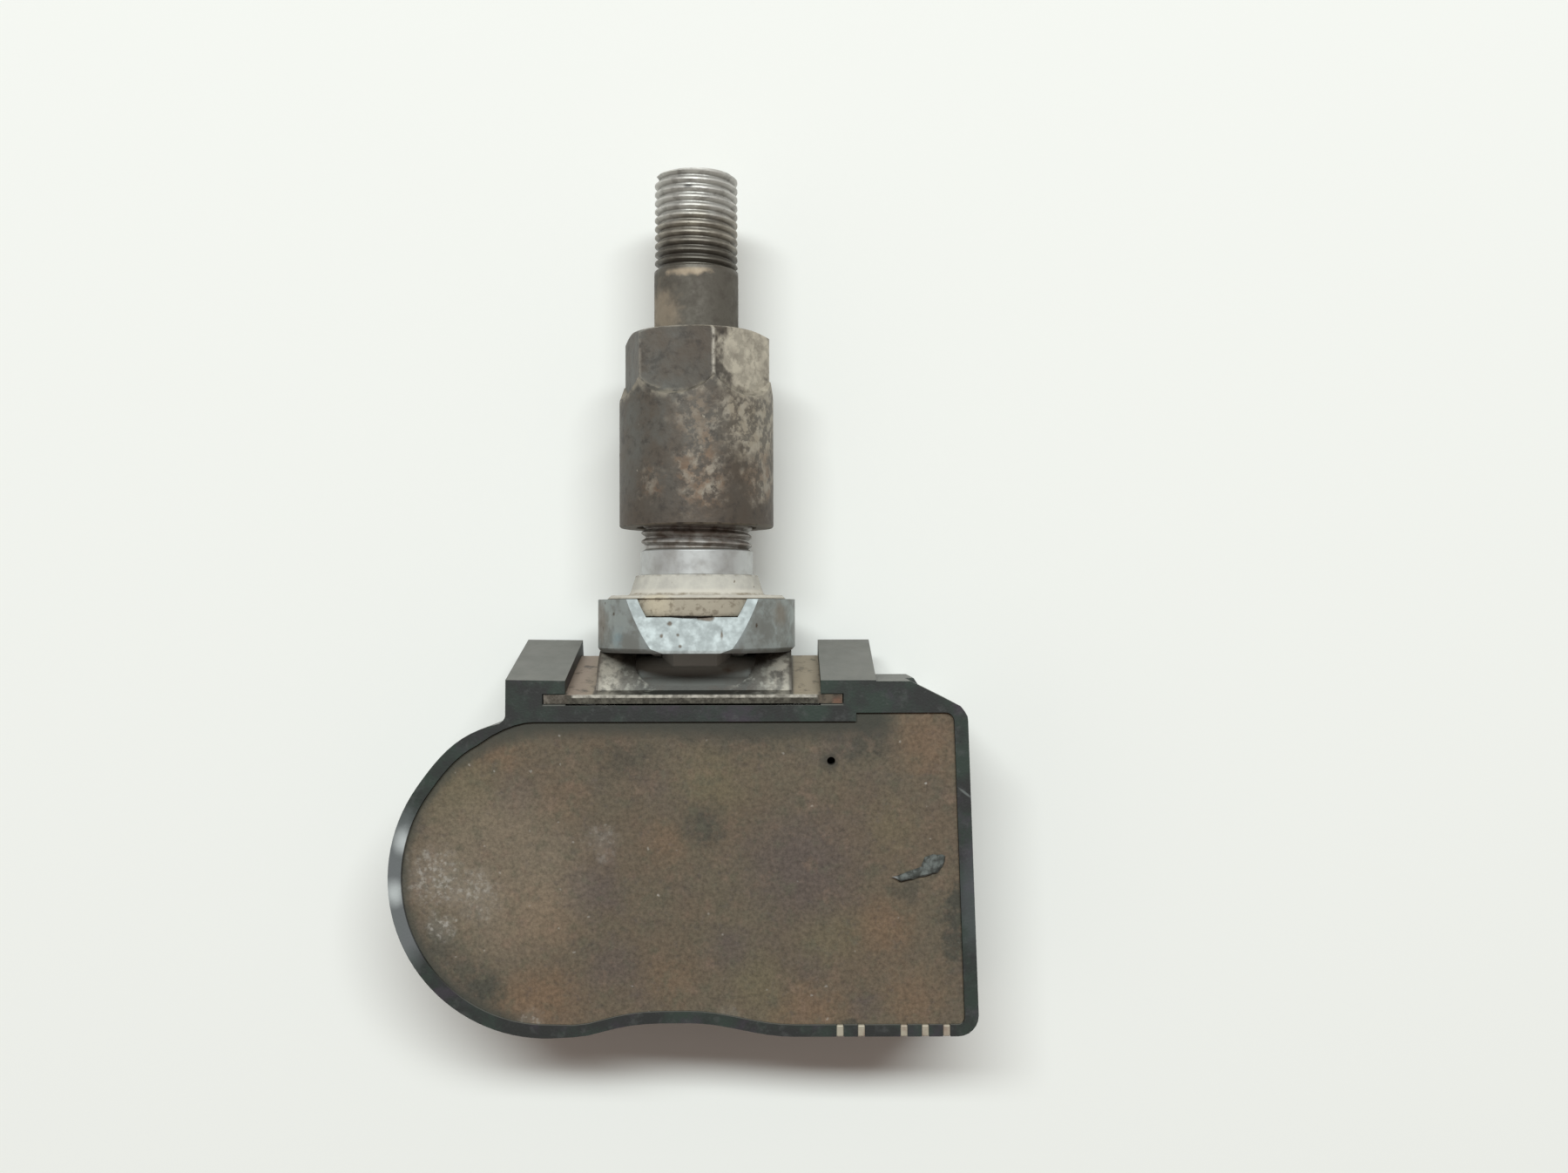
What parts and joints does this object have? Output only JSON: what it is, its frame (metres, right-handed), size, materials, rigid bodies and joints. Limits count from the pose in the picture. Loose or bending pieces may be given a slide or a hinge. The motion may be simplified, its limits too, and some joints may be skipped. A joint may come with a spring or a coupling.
{
  "type": "tyre pressure sensor",
  "caption": "Clamp-in tyre pressure sensor: dark resin-filled housing with a round end, a steel saddle bracket and a swivelling valve stem with grommet and sleeve nut.",
  "frame": {"origin": "on the valve stem's axis, halfway along the bare shank that stands in the wheel's hole", "axes": "+Y along the stem to its tip, +Z out of the resin-filled side, +X towards the square end"},
  "size_m": [0.0516, 0.0772, 0.0172],
  "materials": {
    "housing": "dusty moulded plastic, worn grey along its rim",
    "resin": "mottled brown cast resin with dirt",
    "bracket": "stained stainless sheet",
    "bolt": "darkened steel",
    "collar": "dull zinc plate with small pits",
    "grommet": "chalky pale rubber with dirt",
    "stem": "tarnished metal, bright at the tip and shank",
    "nut": "dark brown anodised finish worn to a pale metal",
    "core_brass": "plain brass",
    "core_seal": "black rubber",
    "spring": "drawn wire",
    "cell": "nickel plate",
    "gasket": "black moulded ring",
    "strip": "nickel strip",
    "board": "green laminate",
    "chip": "black moulded package",
    "ferrite": "dark grey ferrite",
    "copper": "enamelled copper wire",
    "ceramic": "tan ceramic",
    "contact": "tinned strip, dulled"
  },
  "bodies": {
    "sensor": {"housing": "housing", "potting": "resin", "bracket": "bracket", "battery_can": "cell", "battery_cap": "cell", "battery_gasket": "gasket", "tab_positive": "strip", "tab_negative": "strip", "circuit_board": "board", "sensor_chip": "chip", "port_seal": "core_seal", "coil_core": "ferrite", "coil_winding": "copper", "crystal": "cell", "capacitors": "ceramic", "rf_antenna": "strip", "contact_1": "contact", "contact_2": "contact", "contact_3": "contact", "contact_4": "contact", "contact_5": "contact"},
    "stem": {"valve_stem": "stem", "pivot_bolt": "bolt", "collar": "collar", "grommet": "grommet", "core_body": "core_brass", "core_seal": "core_seal", "core_spring": "spring"},
    "nut": {"sleeve_nut": "nut"},
    "core": {"core_pin": "core_brass"}
  },
  "joints": [
    {"name": "stem_swivel", "type": "hinge", "parent": "sensor", "child": "stem", "pos_m": [0, -0.01278, 0], "axis": [1, 0, 0], "range_deg": [0, 32]},
    {"name": "nut_unscrew", "type": "slide", "parent": "stem", "child": "nut", "axis": [0, 1, 0], "range_m": [-0.0018, 0.046]},
    {"name": "core_press", "type": "slide", "parent": "stem", "child": "core", "axis": [0, -1, 0], "range_m": [0, 0.0015], "stiffness_N_per_m": 300, "springref_m": -0.001, "deforming": ["core_spring"]}
  ]
}
